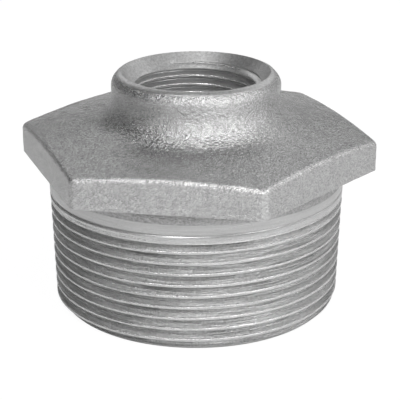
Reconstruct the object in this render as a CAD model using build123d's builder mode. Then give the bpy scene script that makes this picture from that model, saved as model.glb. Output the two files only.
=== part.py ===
from build123d import *

import math
import os

# Hexagon reducing bushing in malleable cast iron, hot-dip galvanised: a taper male pipe
# thread R 2 below a hexagon, and a collar above it with the parallel female thread
# Rp 3/4. It is one casting. It stands on the end of its male thread, with the origin at
# the middle of that end, +Z up along the bore, and two wrench flats facing -Y and +Y.

# Male pipe thread R 2: right-hand, 11 turns to the inch, tapered 1 in 16. Its groove runs
# out of the metal over its last turn, and a plain neck is left above it.
male_gauge_diameter = 59.614
male_gauge_length = 15.9
taper = 1 / 16
male_pitch = 2.309
run_out_turns = 1
neck_length = 3.994
neck_top = 26.5
end_chamfer = 1.6

# Hexagon for the wrench. Each flat stands out past the neck by the overhang, over a cast
# root that slopes out from the neck. The top falls away from the collar like a flat cone,
# so it is lower at the corners than at the middle of each flat.
flat_overhang = 1.862
root_width = 1.3
hexagon_bottom = 29.0
hexagon_height = 7.0
top_slope = 10.0
corner_radius = 1.6
top_bevel = 0.5
bottom_bevel = 0.3

# Round collar that holds the female thread, with a round at its foot and at its rim. Each
# round is drawn as a few flats, because the turns of the thread take most of the faces.
collar_height = 12.0
collar_wall = 5.14
collar_fillet = 5.9
rim_drop = 2.7
foot_flat_count = 5
rim_flat_count = 3

# Female pipe thread Rp 3/4: its bore is the minor diameter, and its mouth a 45 degree cone.
female_minor_diameter = 24.117
mouth_depth = 2.94
exit_chamfer = 1.24

# Hollow of the male end, as the sand core leaves it. A bevel carries its wall into a roof
# that keeps an even web below the hexagon's sloping top.
male_wall = 5.3
hollow_chamfer = 0.8
hollow_bevel = 5.0
web_thickness = 9.5


def crest_radius(height):
    """The radius of the male thread's crests at this height."""
    return male_gauge_diameter / 2 + (height - male_gauge_length) * taper / 2


def top_height(radius):
    """The height of the hexagon's sloping top at this radius."""
    inwards = flat_radius - radius
    return hexagon_bottom + hexagon_height + inwards * math.tan(math.radians(top_slope))


def corners(arc, flats):
    """The corners of a round that is drawn as this many flats."""
    return [arc @ (flat / flats) for flat in range(flats + 1)]


def stands_out(face):
    """Whether a face reaches out to the corners of the hexagon."""
    return face.bounding_box().max.X > flat_radius


def at_outline(edge):
    """Whether an edge of the sloping top lies on the outline of the hexagon."""
    return edge.position_at(0.5).Z < top_height(flat_radius - top_bevel)


neck_radius = crest_radius(neck_top)
flat_radius = neck_radius + flat_overhang
blank_radius = flat_radius / math.cos(math.radians(30)) + 1

overall_height = hexagon_bottom + hexagon_height + collar_height
bore_radius = female_minor_diameter / 2
mouth_radius = bore_radius + mouth_depth
rim_start = overall_height - rim_drop
collar_radius = bore_radius + collar_wall

# The collar's foot round is held inside the wall between the hexagon and the rim.
foot_radius = min(collar_fillet, 0.95 * (rim_start - top_height(collar_radius)))
foot_centre = (
    collar_radius + foot_radius,
    top_height(collar_radius) + foot_radius * math.tan(math.radians(45 - top_slope / 2)),
)

exit_radius = bore_radius + exit_chamfer
exit_height = top_height(exit_radius) - web_thickness
hollow_radius = crest_radius(0) - male_wall
hollow_corner = (hollow_radius, top_height(hollow_radius) - web_thickness)

# The male thread's groove is a plain V between the thread's true major and minor radius.
# The sides of neighbouring turns meet in a sharp crest, a trifle below the blank.
thread_depth = 0.64 * male_pitch
crest_trim = 0.01 * male_pitch
cutter_depth = 1.3 * thread_depth
cutter_rise = cutter_depth * (male_pitch / 2) / (thread_depth - crest_trim)
full_thread_top = neck_top - neck_length - run_out_turns * male_pitch
full_turns = math.ceil(full_thread_top / male_pitch)
run_out_climb = 1.04 * thread_depth / (run_out_turns * male_pitch)

with BuildPart() as hex_bushing:
    # The casting's section, turned about the bore: up the outside and down the inside,
    # with a round blank where the hexagon will be.
    with BuildSketch(Plane.XZ) as section:
        with BuildLine():
            foot = CenterArc(
                foot_centre, foot_radius, 270 - top_slope, top_slope - 90, mode=Mode.PRIVATE
            )
            rim = TangentArc(
                (collar_radius, rim_start),
                (mouth_radius, overall_height),
                tangent=(0, 1),
                mode=Mode.PRIVATE,
            )
            Polyline(
                (hollow_radius + hollow_chamfer, 0),
                (crest_radius(0) - end_chamfer, 0),
                (crest_radius(end_chamfer), end_chamfer),
                (neck_radius, neck_top),
                (neck_radius + root_width, hexagon_bottom),
                (blank_radius, hexagon_bottom),
                (blank_radius, top_height(blank_radius)),
                *corners(foot, foot_flat_count),
                *corners(rim, rim_flat_count),
                (bore_radius, overall_height - mouth_depth),
                (bore_radius, exit_height + exit_chamfer),
                (exit_radius, exit_height),
                hollow_corner,
                (hollow_radius, hollow_chamfer),
                (hollow_radius + hollow_chamfer, 0),
            )
        make_face()
        chamfer(section.vertices().sort_by_distance(hollow_corner)[0], hollow_bevel)
    revolve(axis=Axis.Z)

    # The hexagon: what a hexagonal bar with rounded corners leaves of the round blank.
    with BuildSketch(Plane.XY.offset(-1)) as wrench_hexagon:
        RegularPolygon(radius=flat_radius, side_count=6, major_radius=False)
        fillet(wrench_hexagon.vertices(), corner_radius)
    extrude(amount=overall_height + 2, mode=Mode.INTERSECT)

    # Its edges, bevelled all round above and below.
    sloping_top = hex_bushing.faces().filter_by(GeomType.CONE).filter_by(stands_out)[0]
    chamfer(sloping_top.edges().filter_by(at_outline), top_bevel)
    underside = hex_bushing.faces().filter_by(Plane.XY).sort_by(Axis.Z)[1]
    chamfer(underside.outer_wire().edges(), bottom_bevel)

    # The male thread: whole turns up the taper, and then the turn that runs out. Each side
    # of the groove is cut by itself, so that no turn of a cutter touches the next.
    for start, turns, climb in (
        (full_thread_top - full_turns * male_pitch, full_turns, 0),
        (full_thread_top, run_out_turns, run_out_climb),
    ):
        root = crest_radius(start) - thread_depth
        for side in (-1, 1):
            with BuildLine() as winding:
                Helix(
                    male_pitch,
                    turns * male_pitch,
                    root,
                    center=(0, 0, start),
                    cone_angle=math.degrees(math.atan(taper / 2 + climb)),
                )
            with BuildSketch(Plane.XZ) as groove_side:
                with BuildLine():
                    Polyline(
                        (root, start),
                        (root + cutter_depth, start + side * cutter_rise),
                        (root + cutter_depth, start - side * crest_trim),
                        (root, start),
                    )
                make_face()
            sweep(is_frenet=True, mode=Mode.SUBTRACT)

hex_bushing.part.label = "hex_bushing"
os.makedirs("parts", exist_ok=True)
export_step(hex_bushing.part, "parts/hex_bushing.step")
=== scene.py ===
import math

import bmesh
import bpy
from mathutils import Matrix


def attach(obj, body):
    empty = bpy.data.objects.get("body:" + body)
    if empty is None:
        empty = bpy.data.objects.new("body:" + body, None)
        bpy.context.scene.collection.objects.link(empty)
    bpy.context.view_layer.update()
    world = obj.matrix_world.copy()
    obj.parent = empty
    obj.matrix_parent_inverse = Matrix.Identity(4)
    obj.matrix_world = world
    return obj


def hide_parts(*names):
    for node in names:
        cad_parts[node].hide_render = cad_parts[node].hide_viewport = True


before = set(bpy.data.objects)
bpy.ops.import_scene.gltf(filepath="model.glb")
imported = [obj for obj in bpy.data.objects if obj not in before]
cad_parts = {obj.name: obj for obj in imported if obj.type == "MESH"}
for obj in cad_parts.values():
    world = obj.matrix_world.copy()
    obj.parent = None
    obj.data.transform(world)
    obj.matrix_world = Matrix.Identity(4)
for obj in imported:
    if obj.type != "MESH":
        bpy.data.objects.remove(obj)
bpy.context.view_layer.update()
bpy.ops.object.select_all(action="DESELECT")

# The body. It is malleable iron, cast round a sand core and then turned at the neck, the
# ends and the bore, which leaves plain blanks for the threads. Its section, from below the
# hexagon round the male end and up through the bore to the collar's foot, is wound round.
mm = 0.001
round_steps = 360
male_gauge_radius = 29.807
male_gauge_height = 15.9
taper = 1 / 16
flat_radius = 32.0
neck_top = 26.5
neck_bottom = 23
end_chamfer = 1.6
hexagon_bottom = 29.0
top_edge = 36.0
top_slope = math.radians(10)
rim_top = 48.0


def crest_radius(height):
    """The radius of the male thread's crests at this height. The taper is on the diameter."""
    return male_gauge_radius + (height - male_gauge_height) * taper / 2


def top_height(radius):
    """The height of the hexagon's sloping top at this radius."""
    return top_edge + (flat_radius - radius) * math.tan(top_slope)


def run(start, end, parts):
    """The points of a straight run of the section, without its first."""
    return [
        tuple(a + (b - a) * part / parts for a, b in zip(start, end))
        for part in range(1, parts + 1)
    ]


def arc(centre, radius, first, last, parts):
    """The points of a round, without its first. Angles are in degrees from outwards."""
    points = []
    for part in range(1, parts + 1):
        angle = math.radians(first + (last - first) * part / parts)
        points.append((centre[0] + radius * math.cos(angle), centre[1] + radius * math.sin(angle)))
    return points


def draw_section(name, points):
    """Draws a section of points (radius, height) by extruding one corner along them."""
    bpy.ops.mesh.primitive_plane_add(size=mm, location=(points[0][0] * mm, 0, points[0][1] * mm))
    drawn = bpy.context.object
    drawn.name = name
    bpy.ops.object.transform_apply(location=True)
    bpy.ops.object.mode_set(mode="EDIT")
    bpy.ops.mesh.select_mode(type="VERT")
    bpy.ops.mesh.select_all(action="SELECT")
    bpy.ops.mesh.merge(type="CENTER")
    for before, after in zip(points, points[1:]):
        step = ((after[0] - before[0]) * mm, 0, (after[1] - before[1]) * mm)
        bpy.ops.mesh.extrude_region_move(TRANSFORM_OT_translate={"value": step})
    bpy.ops.object.mode_set(mode="OBJECT")
    return drawn


def wind(drawn, steps, pitch=0, turns=1):
    """Carries a section round the bore, rising by the pitch at each turn."""
    screw = drawn.modifiers.new("wind", "SCREW")
    screw.steps = steps
    screw.render_steps = steps
    screw.screw_offset = pitch * mm
    screw.iterations = turns
    screw.use_smooth_shade = True
    bpy.ops.object.modifier_apply(modifier="wind")
    bpy.ops.object.mode_set(mode="EDIT")
    bpy.ops.mesh.select_all(action="SELECT")
    bpy.ops.mesh.remove_doubles(threshold=0.001 * mm)
    bpy.ops.mesh.normals_make_consistent(inside=False)
    bpy.ops.object.mode_set(mode="OBJECT")


# The cast root below the hexagon, which sags inwards, and the turned neck and male blank.
root_foot = (31.438, hexagon_bottom - 0.1)
root_width = 1.3
root_drop = 2.4
root_sag = 0.28
root_parts = 6
neck_end = (crest_radius(neck_top), neck_top)
neck_foot = (crest_radius(neck_bottom), neck_bottom)
chamfer_top = (crest_radius(end_chamfer), end_chamfer)
end_outside = (27.71, 0)

# The hollow of the male end and the bore. The bore is left a little narrow for the tap.
end_inside = (24.81, 0)
hollow_mouth = (24.01, 0.8)
hollow_corner = (24.01, 22.909)
roof_corner = (19.086, 28.777)
exit_below = (13.2985, 29.798)
exit_above = (11.95, 31.15)
mouth_below = (11.95, 44.95)
mouth_above = (15.0, rim_top)

# The collar. A round between its wall and the sloping top has this reach along each, for
# each millimetre of its radius.
round_reach = math.tan((math.radians(90) - top_slope) / 2)
collar_radius = 17.2
rim_round = 2.757
rim_round_start = 78.3
rim_centre = (collar_radius - rim_round, 45.3)
foot_round = 5.9
foot_centre = (collar_radius + foot_round, top_height(collar_radius) + foot_round * round_reach)

section = [root_foot]
for part in range(1, root_parts):
    share = part / root_parts
    inwards = root_width * share + root_sag * math.sin(math.pi * share)
    section.append((root_foot[0] - inwards, root_foot[1] - root_drop * share))
section.append(neck_end)
section += run(neck_end, neck_foot, 5)
section += run(neck_foot, chamfer_top, 4)
section += run(chamfer_top, end_outside, 1)
section += run(end_outside, end_inside, 2)
section += run(end_inside, hollow_mouth, 1)
section += run(hollow_mouth, hollow_corner, 16)
section += run(hollow_corner, roof_corner, 6)
section += run(roof_corner, exit_below, 5)
section += run(exit_below, exit_above, 2)
section += run(exit_above, mouth_below, 3)
section += run(mouth_below, mouth_above, 5)
section += arc(rim_centre, rim_round, rim_round_start, 0, 9)
section += run((collar_radius, rim_centre[1]), (collar_radius, foot_centre[1]), 4)
section += arc(foot_centre, foot_round, 180, 260, 16)

bushing = draw_section("bushing", section)
wind(bushing, round_steps)


# The hexagon, cast with the body for a wrench of 64 mm: six flats with rounded corners, a
# soft edge above and below, and a top that falls away from the collar like a flat cone. Its
# outline is drawn below, carried up the flats, and joined to the body's two open edges.
half_sector = math.radians(30)
corner_round = 1.6
corner_parts = 6
foot_edge = 0.15
soft_edge = 1.2
flat_parts = 11
root_cuts = 3
top_cuts = 18
flat_foot = hexagon_bottom + foot_edge
edge_reach = soft_edge * round_reach


def foot_row(angle):
    """A row of the soft edge below: how far it is drawn in, and its height at a radius."""
    height = hexagon_bottom + foot_edge * (1 - math.cos(angle))
    return foot_edge * (1 - math.sin(angle)), lambda radius: height


def flat_row(share):
    """A row of the flats, this share of the way up them."""
    return 0, lambda radius: flat_foot + (top_height(radius) - edge_reach - flat_foot) * share


def edge_row(angle):
    """A row of the soft edge above."""
    drawn_in = soft_edge * (1 - math.cos(angle))
    sink = edge_reach + drawn_in * math.tan(top_slope) - soft_edge * math.sin(angle)
    return drawn_in, lambda radius: top_height(radius) - sink


def carry_outline(piece, scale, height):
    """Extrudes the selected outline, scales it about the bore, and sets each point's height."""
    bpy.ops.mesh.extrude_edges_move()
    bpy.ops.transform.resize(value=(scale, scale, 1), center_override=(0, 0, 0))
    drawing = bmesh.from_edit_mesh(piece.data)
    for point in drawing.verts:
        if point.select:
            point.co.z = height(math.hypot(point.co.x, point.co.y) / mm) * mm
    bmesh.update_edit_mesh(piece.data)


def select_edges(piece, wanted):
    """Selects the edges that this accepts, and nothing else, in edit mode."""
    drawing = bmesh.from_edit_mesh(piece.data)
    bpy.ops.mesh.select_all(action="DESELECT")
    for edge in drawing.edges:
        edge.select_set(wanted(edge))
    bmesh.update_edit_mesh(piece.data)


bpy.ops.object.select_all(action="DESELECT")
bpy.ops.mesh.primitive_circle_add(
    vertices=6,
    radius=flat_radius / math.cos(half_sector) * mm,
    rotation=(0, 0, half_sector),
    location=(0, 0, hexagon_bottom * mm),
)
hexagon = bpy.context.object
bpy.ops.object.transform_apply(location=True, rotation=True)
bpy.ops.object.mode_set(mode="EDIT")
bpy.ops.mesh.select_mode(type="VERT")
bpy.ops.mesh.select_all(action="SELECT")
bpy.ops.mesh.bevel(
    offset=corner_round * math.tan(half_sector) * mm,
    segments=corner_parts,
    affect="VERTICES",
)
select_edges(hexagon, lambda edge: edge.calc_length() > corner_round * mm)
bpy.ops.mesh.subdivide(number_cuts=round_steps // 6 - corner_parts - 1)
bpy.ops.mesh.select_all(action="SELECT")

inset = foot_edge
first_scale = (flat_radius - inset) / flat_radius
bpy.ops.transform.resize(value=(first_scale, first_scale, 1), center_override=(0, 0, 0))
rows = [foot_row(math.radians(angle)) for angle in (30, 60, 90)]
rows += [flat_row(part / flat_parts) for part in range(1, flat_parts + 1)]
rows += [edge_row(math.radians(angle)) for angle in (16, 32, 48, 64, 80)]
for next_inset, height in rows:
    carry_outline(hexagon, (flat_radius - next_inset) / (flat_radius - inset), height)
    inset = next_inset
bpy.ops.object.mode_set(mode="OBJECT")

bushing.select_set(True)
hexagon.select_set(True)
bpy.context.view_layer.objects.active = bushing
bpy.ops.object.join()
bpy.ops.object.mode_set(mode="EDIT")
bpy.ops.mesh.select_mode(type="EDGE")
for above, cuts in ((False, root_cuts), (True, top_cuts)):
    select_edges(
        bushing,
        lambda edge: edge.is_boundary and (edge.verts[0].co.z > flat_foot * mm) == above,
    )
    bpy.ops.mesh.bridge_edge_loops(number_cuts=cuts, interpolation="LINEAR")
bpy.ops.mesh.select_all(action="SELECT")
bpy.ops.mesh.normals_make_consistent(inside=False)
bpy.ops.object.mode_set(mode="OBJECT")


# The cast skin. Sand and the zinc bath leave the hexagon, the collar, the root below the
# hexagon and the hollow uneven: long waves, and lumps the size of coarse sand, all of it
# below the true surface. The turned faces have none.
hollow_limit = 24.5
turned_end_top = 1
rim_land = 47.3
rim_blend = 0.4


def cast_share(radius, height):
    """How much of the cast skin is left at a place of the section, from 0, turned away, to 1."""
    in_bore = radius < mouth_above[0] + 0.2 and height > exit_below[1] - 0.1
    on_blank = radius > hollow_limit and height < neck_top + 0.1
    if in_bore or on_blank or height < turned_end_top:
        return 0
    if height > rim_land:
        return max(0, 1 - (height - rim_land) / rim_blend)
    return 1


skin = bushing.vertex_groups.new(name="cast_skin")
for point in bushing.data.vertices:
    share = cast_share(math.hypot(point.co.x, point.co.y) / mm, point.co.z / mm)
    skin.add([point.index], share, "REPLACE")
for name, size, depth in (("waves", 5.0, 0.14), ("lumps", 1.2, 0.08)):
    relief = bpy.data.textures.new(name, "CLOUDS")
    relief.noise_scale = size * mm
    relief.noise_depth = 2
    pressed = bushing.modifiers.new(name, "DISPLACE")
    pressed.texture = relief
    pressed.texture_coords = "LOCAL"
    pressed.vertex_group = "cast_skin"
    pressed.mid_level = 1
    pressed.strength = depth * mm
    bpy.ops.object.modifier_apply(modifier=name)


# The male thread, R 2: right-hand, 11 turns to the inch, on a taper of 1 in 16. A die cuts
# it, and the die's throat opens over its last turns, so the grooves run out into the neck
# and leave wide crests there. A crest passes +X at the crest height.
flank = math.radians(62.5)
male_pitch = 2.309
male_crest_height = 21.352
throat_start = 21.2
throat_slope = 0.40
crest_drop = 0.02
die_radius = 33
die_bottom = -0.8
die_top = 24.8


def thread_turn(pitch, outside, outer_flat, outer_round, inner_flat, inner_round, bend):
    """The section of one turn of thread, between the middles of two outer flats.

    Its flanks are at 55 degrees. Each has one more point, at the bend's share of its width
    from the crest, so that the crest's wear and painted highlight can stay on the crest alone.
    """
    half = [(outside, 0), (outside, outer_flat / 2)]
    crest_centre = (outside - outer_round, outer_flat / 2)
    half += arc(crest_centre, outer_round, 0, math.degrees(flank), 3)
    foot_z = (pitch - inner_flat) / 2
    across = foot_z - inner_round * math.sin(flank) - half[-1][1]
    inside = half[-1][0] - across * math.tan(flank) - inner_round * (1 - math.cos(flank))
    foot = (
        inside + inner_round * (1 - math.cos(flank)),
        foot_z - inner_round * math.sin(flank),
    )
    half += [tuple(a + (b - a) * bend for a, b in zip(half[-1], foot)), foot]
    half += arc((inside + inner_round, foot_z), inner_round, 180 + math.degrees(flank), 180, 2)
    other_half = [
        (radius, pitch - height) for radius, height in reversed(half) if height < pitch / 2
    ]
    return half + other_half


def wind_thread(name, turn, pitch, turns, steps, start, bottom, top):
    """A rod with this thread, wound up from the start and cut flat at the bottom and top."""
    bpy.ops.object.select_all(action="DESELECT")
    rod = draw_section(name, [(radius, height + start) for radius, height in turn])
    wind(rod, steps, pitch, turns)
    bpy.ops.object.mode_set(mode="EDIT")
    for height, side in ((bottom, -1), (top, 1)):
        bpy.ops.mesh.select_all(action="SELECT")
        bpy.ops.mesh.bisect(
            plane_co=(0, 0, height * mm),
            plane_no=(0, 0, side),
            use_fill=True,
            clear_outer=True,
            threshold=0.0001 * mm,
        )
    bpy.ops.mesh.select_all(action="SELECT")
    bpy.ops.mesh.normals_make_consistent(inside=False)
    bpy.ops.object.mode_set(mode="OBJECT")
    return rod


def cut_away(piece, tool):
    """Takes the tool's solid out of the piece."""
    cut = piece.modifiers.new("cut", "BOOLEAN")
    cut.operation = "DIFFERENCE"
    cut.solver = "MANIFOLD"
    cut.object = tool
    bpy.context.view_layer.objects.active = piece
    bpy.ops.object.modifier_apply(modifier="cut")
    bpy.data.objects.remove(tool)


male_rod = wind_thread(
    "male_rod",
    thread_turn(
        male_pitch,
        male_gauge_radius,
        outer_flat=0.28,
        outer_round=0.15,
        inner_flat=0,
        inner_round=0.25,
        bend=0.05,
    ),
    male_pitch,
    turns=13,
    steps=180,
    start=male_crest_height - 11 * male_pitch,
    bottom=-1,
    top=25.4,
)
for point in male_rod.data.vertices:
    radius = math.hypot(point.co.x, point.co.y) / mm
    if radius > 1:
        height = point.co.z / mm
        tapered = radius - male_gauge_radius + crest_radius(height) - crest_drop
        tapered += max(0, height - throat_start) * throat_slope
        point.co.x *= tapered / radius
        point.co.y *= tapered / radius
bpy.ops.mesh.primitive_cylinder_add(
    vertices=64,
    radius=die_radius * mm,
    depth=(die_top - die_bottom) * mm,
    location=(0, 0, (die_top + die_bottom) / 2 * mm),
)
die = bpy.context.object
die.name = "die"
bpy.ops.object.transform_apply(location=True)
cut_away(die, male_rod)
cut_away(bushing, die)


# The female thread, Rp 3/4: right-hand, parallel, 14 turns to the inch. A tap cuts it right
# through the bore, and the cone of the mouth takes the top off its first turn. A crest
# passes the back of the bore, at the back angle from +X, at the back crest height.
female_pitch = 1.814
female_root_radius = 13.2205
back_crest_height = 45.3
back_angle = 99.645

tap = wind_thread(
    "tap",
    thread_turn(
        female_pitch,
        female_root_radius,
        outer_flat=0.04,
        outer_round=0.22,
        inner_flat=0.16,
        inner_round=0.12,
        bend=0.87,
    ),
    female_pitch,
    turns=12,
    steps=120,
    start=back_crest_height - (back_angle / 360 + 10.5) * female_pitch,
    bottom=28.6,
    top=47.3,
)
cut_away(bushing, tap)

# The cuts leave slivers where edges nearly meet, so close points are merged, and points
# that only divide an edge are taken out.
sliver = 0.0005
bpy.ops.object.mode_set(mode="EDIT")
bpy.ops.mesh.select_mode(type="VERT")
bpy.ops.mesh.select_all(action="SELECT")
bpy.ops.mesh.remove_doubles(threshold=sliver * mm)
bpy.ops.mesh.dissolve_degenerate(threshold=sliver * mm)
drawing = bmesh.from_edit_mesh(bushing.data)
dividing = [point for point in drawing.verts if len(point.link_edges) == 2]
bmesh.ops.dissolve_verts(drawing, verts=dividing)
bmesh.update_edit_mesh(bushing.data)
bpy.ops.object.mode_set(mode="OBJECT")

bpy.ops.object.select_all(action="DESELECT")
bushing.select_set(True)
bpy.ops.object.shade_smooth_by_angle(angle=math.radians(33))


# The finish. Zinc covers the cast skin, dull and grainy, and is turned smooth on the rim and
# the cone of the mouth. The threads, the neck and the end of the male side were cut through
# it and show the tool's fine lines. Crests and edges are rubbed brighter and carry a painted
# highlight as well, and the male thread's roots and the cast strip below the hexagon are
# painted darker as painted shade.
def node(tree, kind, feeds=None, **settings):
    """Adds a shader node, and feeds its inputs by name with sockets or plain values."""
    made = tree.nodes.new(kind)
    for name, value in settings.items():
        setattr(made, name, value)
    for name, value in (feeds or {}).items():
        if isinstance(value, bpy.types.NodeSocket):
            tree.links.new(value, made.inputs[name])
        else:
            made.inputs[name].default_value = value
    return made


def new_group(name, outputs):
    """A shader node group that is fed a Place, with its input node and its output node."""
    group = bpy.data.node_groups.new(name, "ShaderNodeTree")
    group.interface.new_socket("Place", in_out="INPUT", socket_type="NodeSocketVector")
    for socket in outputs:
        group.interface.new_socket(socket, in_out="OUTPUT", socket_type="NodeSocketFloat")
    return group, group.nodes.new("NodeGroupInput"), group.nodes.new("NodeGroupOutput")


def noise(tree, place, scale, detail, roughness):
    """A noise texture at this place, and its value from 0 to 1."""
    feeds = {"Vector": place, "Scale": scale, "Detail": detail, "Roughness": roughness}
    return node(tree, "ShaderNodeTexNoise", feeds).outputs["Fac"]


def spread(tree, value, first, last, low, high):
    """The value between first and last, spread from low to high."""
    feeds = {"Value": value, "From Min": first, "From Max": last, "To Min": low, "To Max": high}
    return node(tree, "ShaderNodeMapRange", feeds).outputs["Result"]


def times_plus(tree, value, factor, other=0.0):
    """The value times the factor, plus the other."""
    feeds = {0: value, 1: factor, 2: other}
    return node(tree, "ShaderNodeMath", feeds, operation="MULTIPLY_ADD").outputs[0]


def coarse_and_fine(tree, coarse, fine, share):
    """The coarse value and this share of the fine one, centred on 0."""
    centred = times_plus(tree, coarse, 1.0, -(1 + share) / 2)
    return times_plus(tree, fine, share, centred)


grain, given, put_out = new_group("cast_grain", ["Height", "Mottle"])
sand = noise(grain, given.outputs["Place"], 1900.0, 3.0, 0.65)
dust = noise(grain, given.outputs["Place"], 4000.0, 2.0, 0.6)
mottle = noise(grain, given.outputs["Place"], 260.0, 5.0, 0.65)
grain.links.new(coarse_and_fine(grain, sand, dust, 0.35), put_out.inputs["Height"])
grain.links.new(mottle, put_out.inputs["Mottle"])

# The tool's lines run round the bore. Their noise is drawn out along each turn, and packed
# close up the work and across it.
marks, given, put_out = new_group("tool_marks", ["Streak", "Height", "Patch"])
parts = node(marks, "ShaderNodeSeparateXYZ", {0: given.outputs["Place"]})
across = node(marks, "ShaderNodeCombineXYZ", {0: parts.outputs[0], 1: parts.outputs[1]})
feeds = {0: across.outputs[0]}
radius = node(marks, "ShaderNodeVectorMath", feeds, operation="LENGTH").outputs["Value"]
feeds = {0: across.outputs[0], 1: (90.0, 90.0, 0.0)}
around = node(marks, "ShaderNodeVectorMath", feeds, operation="MULTIPLY").outputs[0]
travel = times_plus(marks, parts.outputs[2], 2400.0, times_plus(marks, radius, -600.0))
lift = node(marks, "ShaderNodeCombineXYZ", {2: travel}).outputs[0]
wound = node(marks, "ShaderNodeVectorMath", {0: around, 1: lift}, operation="ADD").outputs[0]
streak = noise(marks, wound, 1.0, 3.0, 0.65)
speck = noise(marks, given.outputs["Place"], 2600.0, 2.0, 0.6)
patch = noise(marks, given.outputs["Place"], 450.0, 4.0, 0.65)
marks.links.new(streak, put_out.inputs["Streak"])
marks.links.new(coarse_and_fine(marks, streak, speck, 0.7), put_out.inputs["Height"])
marks.links.new(patch, put_out.inputs["Patch"])


def new_metal(name, metallic, group):
    """A material: itself, its tree, its shader, this group's outputs, and its two masks."""
    material = bpy.data.materials.new(name)
    material.use_nodes = True
    tree = material.node_tree
    shader = tree.nodes["Principled BSDF"]
    shader.inputs["Metallic"].default_value = metallic
    effect = node(tree, "ShaderNodeGroup", node_tree=group)
    place = node(tree, "ShaderNodeTexCoord").outputs["Object"]
    tree.links.new(place, effect.inputs["Place"])
    # The wear mask holds painted highlight and painted shade as well as wear.
    wear_and_light = node(tree, "ShaderNodeAttribute", attribute_name="wear_and_light").outputs["Fac"]
    torn = node(tree, "ShaderNodeAttribute", attribute_name="torn").outputs["Fac"]
    return material, tree, shader, effect.outputs, wear_and_light, torn


def tint(tree, mottle, relief, wear_and_light, low, high, specks, shine):
    """A grey from low to high, darker in the pits by specks, and lighter or darker by shine with
    the mask of wear, painted highlight and painted shade.
    """
    mottled = spread(tree, mottle, 0.3, 0.7, low, high)
    return times_plus(tree, wear_and_light, shine, times_plus(tree, relief, specks, mottled))


def finish(tree, shader, colour, roughness, height, distance):
    """Feeds the shader its colour, roughness and bump."""
    tree.links.new(colour, shader.inputs["Base Color"])
    tree.links.new(roughness, shader.inputs["Roughness"])
    feeds = {"Height": height, "Distance": distance * mm, "Strength": 1.0}
    bumps = node(tree, "ShaderNodeBump", feeds)
    tree.links.new(bumps.outputs[0], shader.inputs["Normal"])


cast_zinc, tree, shader, effect, wear_and_light, torn = new_metal("cast_zinc", 0.85, grain)
# The wear mask lightens the zinc where rubbed and where a highlight is painted, and darkens it
# where shade is painted.
tone = tint(
    tree, effect["Mottle"], effect["Height"], wear_and_light, low=0.57, high=0.63, specks=0.6, shine=0.4
)
rough = times_plus(tree, wear_and_light, -0.08, spread(tree, effect["Mottle"], 0.3, 0.7, 0.18, 0.11))
rough = times_plus(tree, torn, -0.36, rough)
relief = times_plus(tree, effect["Height"], times_plus(tree, torn, 1.0, 1.0))
finish(tree, shader, tone, rough, relief, distance=0.28)

cut_metal, tree, shader, effect, wear_and_light, torn = new_metal("cut_metal", 0.8, marks)
relief = times_plus(tree, effect["Height"], times_plus(tree, torn, 3.4, 0.6))
# Here too the wear mask, spread by patches, paints highlight and shade into the colour as well as
# wear.
wear_and_light = times_plus(tree, wear_and_light, spread(tree, effect["Patch"], 0.35, 0.65, 0.7, 1.2))
tone = tint(tree, effect["Streak"], relief, wear_and_light, low=0.60, high=0.67, specks=0.22, shine=0.2)
rough = times_plus(tree, wear_and_light, -0.1, spread(tree, effect["Streak"], 0.3, 0.7, 0.34, 0.25))
finish(tree, shader, tone, rough, relief, distance=0.11)

bushing.data.materials.clear()
for metal in (cast_zinc, cut_metal):
    bushing.data.materials.append(metal)

# The width of the hexagon's rubbed edge, which also carries a painted highlight.
edge_wear_and_highlight_width = 0.9
male_thread_top = 23.9
male_fade = 0.6
male_crest_depth = 0.11
male_foot_depth = 1.3
male_root_depth = 1.42
crest_blend = 0.05
female_crest_radius = 12.14
female_thread_top = 46.5
smooth_rim_start = 47.2
smooth_rim_blend = 0.5


def on_mouth(radius, height):
    """Whether a place is on the cone of the bore's mouth."""
    return height > mouth_below[1] and abs(radius - mouth_below[0] - height + mouth_below[1]) < 0.1


def hexagon_wear_and_highlight(point, radius, height):
    """The wear and painted highlight on the hexagon's upper edge, which fade away from it."""
    sector = 2 * half_sector
    turned = (math.atan2(point.y, point.x) + sector) % sector - sector / 2
    from_side = flat_radius - radius * math.cos(turned)
    from_top = top_height(radius) - height
    return max(0, 1 - math.hypot(from_side, from_top) / edge_wear_and_highlight_width), 0


def male_thread_wear_and_light(radius, height):
    """The wear and painted light on the male thread: crests rubbed bright with a painted
    highlight, flanks dull and painted lighter towards their foot against their shade, a painted
    highlight line at their foot, and painted shade in the root.
    """
    depth = crest_radius(height) - radius
    # Painted shade in the root, a painted highlight line at the foot, and flanks painted darker
    # towards the crest.
    if depth > male_root_depth:
        groove = -0.4
    elif depth > male_foot_depth:
        groove = 0.4
    else:
        groove = 0.4 * depth / male_foot_depth - 0.9
    crest = 0.5 - max(0, depth - male_crest_depth) / crest_blend
    torn = 0.4 if depth < male_crest_depth else 0.9
    fade = min(1, (male_thread_top - height) / male_fade)
    return fade * max(groove, crest), fade * torn


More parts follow.
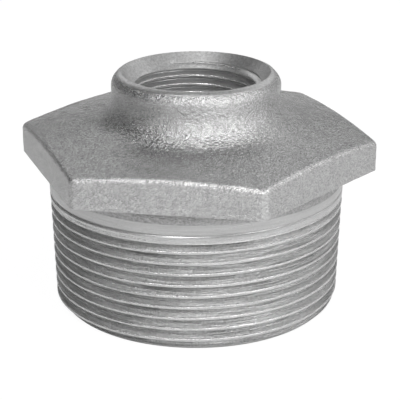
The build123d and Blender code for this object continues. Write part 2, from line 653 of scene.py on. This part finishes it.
def wear_and_light_at(point):
    """How worn and lit and how torn a place is. The first value holds wear together with painted
    highlight and painted shade: 1 where bright, below 0 where dull or painted dark.

    Where the surface is torn its relief is stronger, and below 0 it is turned smooth.
    """
    radius, height = math.hypot(point.x, point.y) / mm, point.z / mm
    if radius > flat_radius - 2 and height > hexagon_bottom:
        return hexagon_wear_and_highlight(point, radius, height)
    if radius > hollow_limit and height < male_thread_top:
        return male_thread_wear_and_light(radius, height)
    # The cast strip below the hexagon is painted darker: painted shade under the hexagon.
    if radius > hollow_limit and neck_top < height < hexagon_bottom + 0.1:
        return -0.3, 0
    if on_mouth(radius, height):
        return -0.15, -0.8
    # The female crests are painted lighter, partly as rubbed crests and partly as a painted
    # highlight.
    if radius < female_root_radius + 0.1 and hexagon_bottom < height < female_thread_top:
        return max(-0.1, 1 - max(0, radius - female_crest_radius) / crest_blend), 0.3
    return 0, -0.8 * max(0, min(1, (height - smooth_rim_start) / smooth_rim_blend))


for face in bushing.data.polygons:
    radius, height = math.hypot(face.center.x, face.center.y) / mm, face.center.z / mm
    turned = cast_share(radius, height) < 0.5
    zinc = on_mouth(radius, height) or height >= rim_land
    face.material_index = int(turned and not zinc)

# The wear values, with their painted highlight and painted shade, and the torn values are kept on
# the points.
worn_and_lit = [wear_and_light_at(point.co) for point in bushing.data.vertices]
for part, name in enumerate(("wear_and_light", "torn")):
    mask = bushing.data.attributes.new(name, "FLOAT", "POINT")
    mask.data.foreach_set("value", [place[part] for place in worn_and_lit])

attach(bushing, "root")
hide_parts("hex_bushing")


# The studio: a white floor that the background runs into, a dim white world, seven soft
# lamps round the bushing, and a long lens a little above it, turned a few degrees from the
# front flat.
floor_white = 0.85
floor_glow = 1.08
glow_share = 0.88
mirrored_share = 0.13
lamp_distance = 0.8
lamp_target = 0.03

bpy.ops.mesh.primitive_plane_add(size=4, location=(0, 0, 0))
floor = bpy.context.object
floor.name = "floor"
white = bpy.data.materials.new("white_floor")
floor.data.materials.append(white)
white.use_nodes = True
tree = white.node_tree
shader = tree.nodes["Principled BSDF"]
shader.inputs["Base Color"].default_value = (floor_white, floor_white, floor_white, 1)
shader.inputs["Roughness"].default_value = 1
shader.inputs["Specular IOR Level"].default_value = 0
seen = node(tree, "ShaderNodeLightPath").outputs
feeds = {0: seen["Is Glossy Ray"], 1: seen["Is Transmission Ray"]}
mirrored = node(tree, "ShaderNodeMath", feeds, operation="ADD").outputs[0]
feeds = {0: seen["Is Camera Ray"], 1: times_plus(tree, mirrored, mirrored_share)}
shown = node(tree, "ShaderNodeMath", feeds, operation="MAXIMUM").outputs[0]
glow = node(tree, "ShaderNodeEmission", {"Strength": floor_glow}).outputs[0]
feeds = {0: times_plus(tree, shown, glow_share), 1: shader.outputs[0], 2: glow}
mixed = node(tree, "ShaderNodeMixShader", feeds).outputs[0]
tree.links.new(mixed, tree.nodes["Material Output"].inputs["Surface"])

world = bpy.data.worlds.new("studio")
world.use_nodes = True
world.node_tree.nodes["Background"].inputs["Color"].default_value = (1, 1, 1, 1)
world.node_tree.nodes["Background"].inputs["Strength"].default_value = 0.02
bpy.context.scene.world = world


def add_softbox(name, azimuth, elevation, width, height, power):
    """A lamp that faces the bushing. Azimuth is in degrees from the front flat."""
    light = bpy.data.lights.new(name, "AREA")
    light.shape = "RECTANGLE"
    light.size = width
    light.size_y = height
    light.energy = power
    lamp = bpy.data.objects.new(name, light)
    bpy.context.scene.collection.objects.link(lamp)
    turn, rise = math.radians(azimuth - 90), math.radians(elevation)
    lamp.location = (
        lamp_distance * math.cos(rise) * math.cos(turn),
        lamp_distance * math.cos(rise) * math.sin(turn),
        lamp_target + lamp_distance * math.sin(rise),
    )
    lamp.rotation_euler = (math.radians(90 - elevation), 0, turn + math.radians(90))


add_softbox("upper_softbox", -10, 52, 0.3, 0.3, 2.1)
add_softbox("top_softbox", 30, 68, 0.6, 0.5, 0.5)
add_softbox("right_softbox", 54, 40, 0.45, 0.4, 1.8)
add_softbox("low_right_softbox", 60, 10, 0.6, 0.5, 1.6)
add_softbox("low_front_softbox", 8, 16, 0.6, 0.5, 1.05)
add_softbox("edge_softbox", 122, 31, 0.6, 0.5, 0.95)
add_softbox("back_softbox", -170, 35, 1.1, 0.6, 1.8)

camera_target = (0.760, 0.129, 20.213)
camera_azimuth = 9.645
camera_elevation = 20.867
camera_distance = 297.683
lens = bpy.data.cameras.new("camera")
lens.lens = 129.18
lens.sensor_width = 36
lens.clip_start = 0.01
lens.clip_end = 20
camera = bpy.data.objects.new("camera", lens)
bpy.context.scene.collection.objects.link(camera)
turn, rise = math.radians(camera_azimuth - 90), math.radians(camera_elevation)
camera.location = (
    (camera_target[0] + camera_distance * math.cos(rise) * math.cos(turn)) * mm,
    (camera_target[1] + camera_distance * math.cos(rise) * math.sin(turn)) * mm,
    (camera_target[2] + camera_distance * math.sin(rise)) * mm,
)
camera.rotation_euler = (math.radians(90 - camera_elevation), 0, math.radians(camera_azimuth))
bpy.context.scene.camera = camera
bpy.context.scene.view_settings.view_transform = "Standard"

bpy.context.view_layer.update()
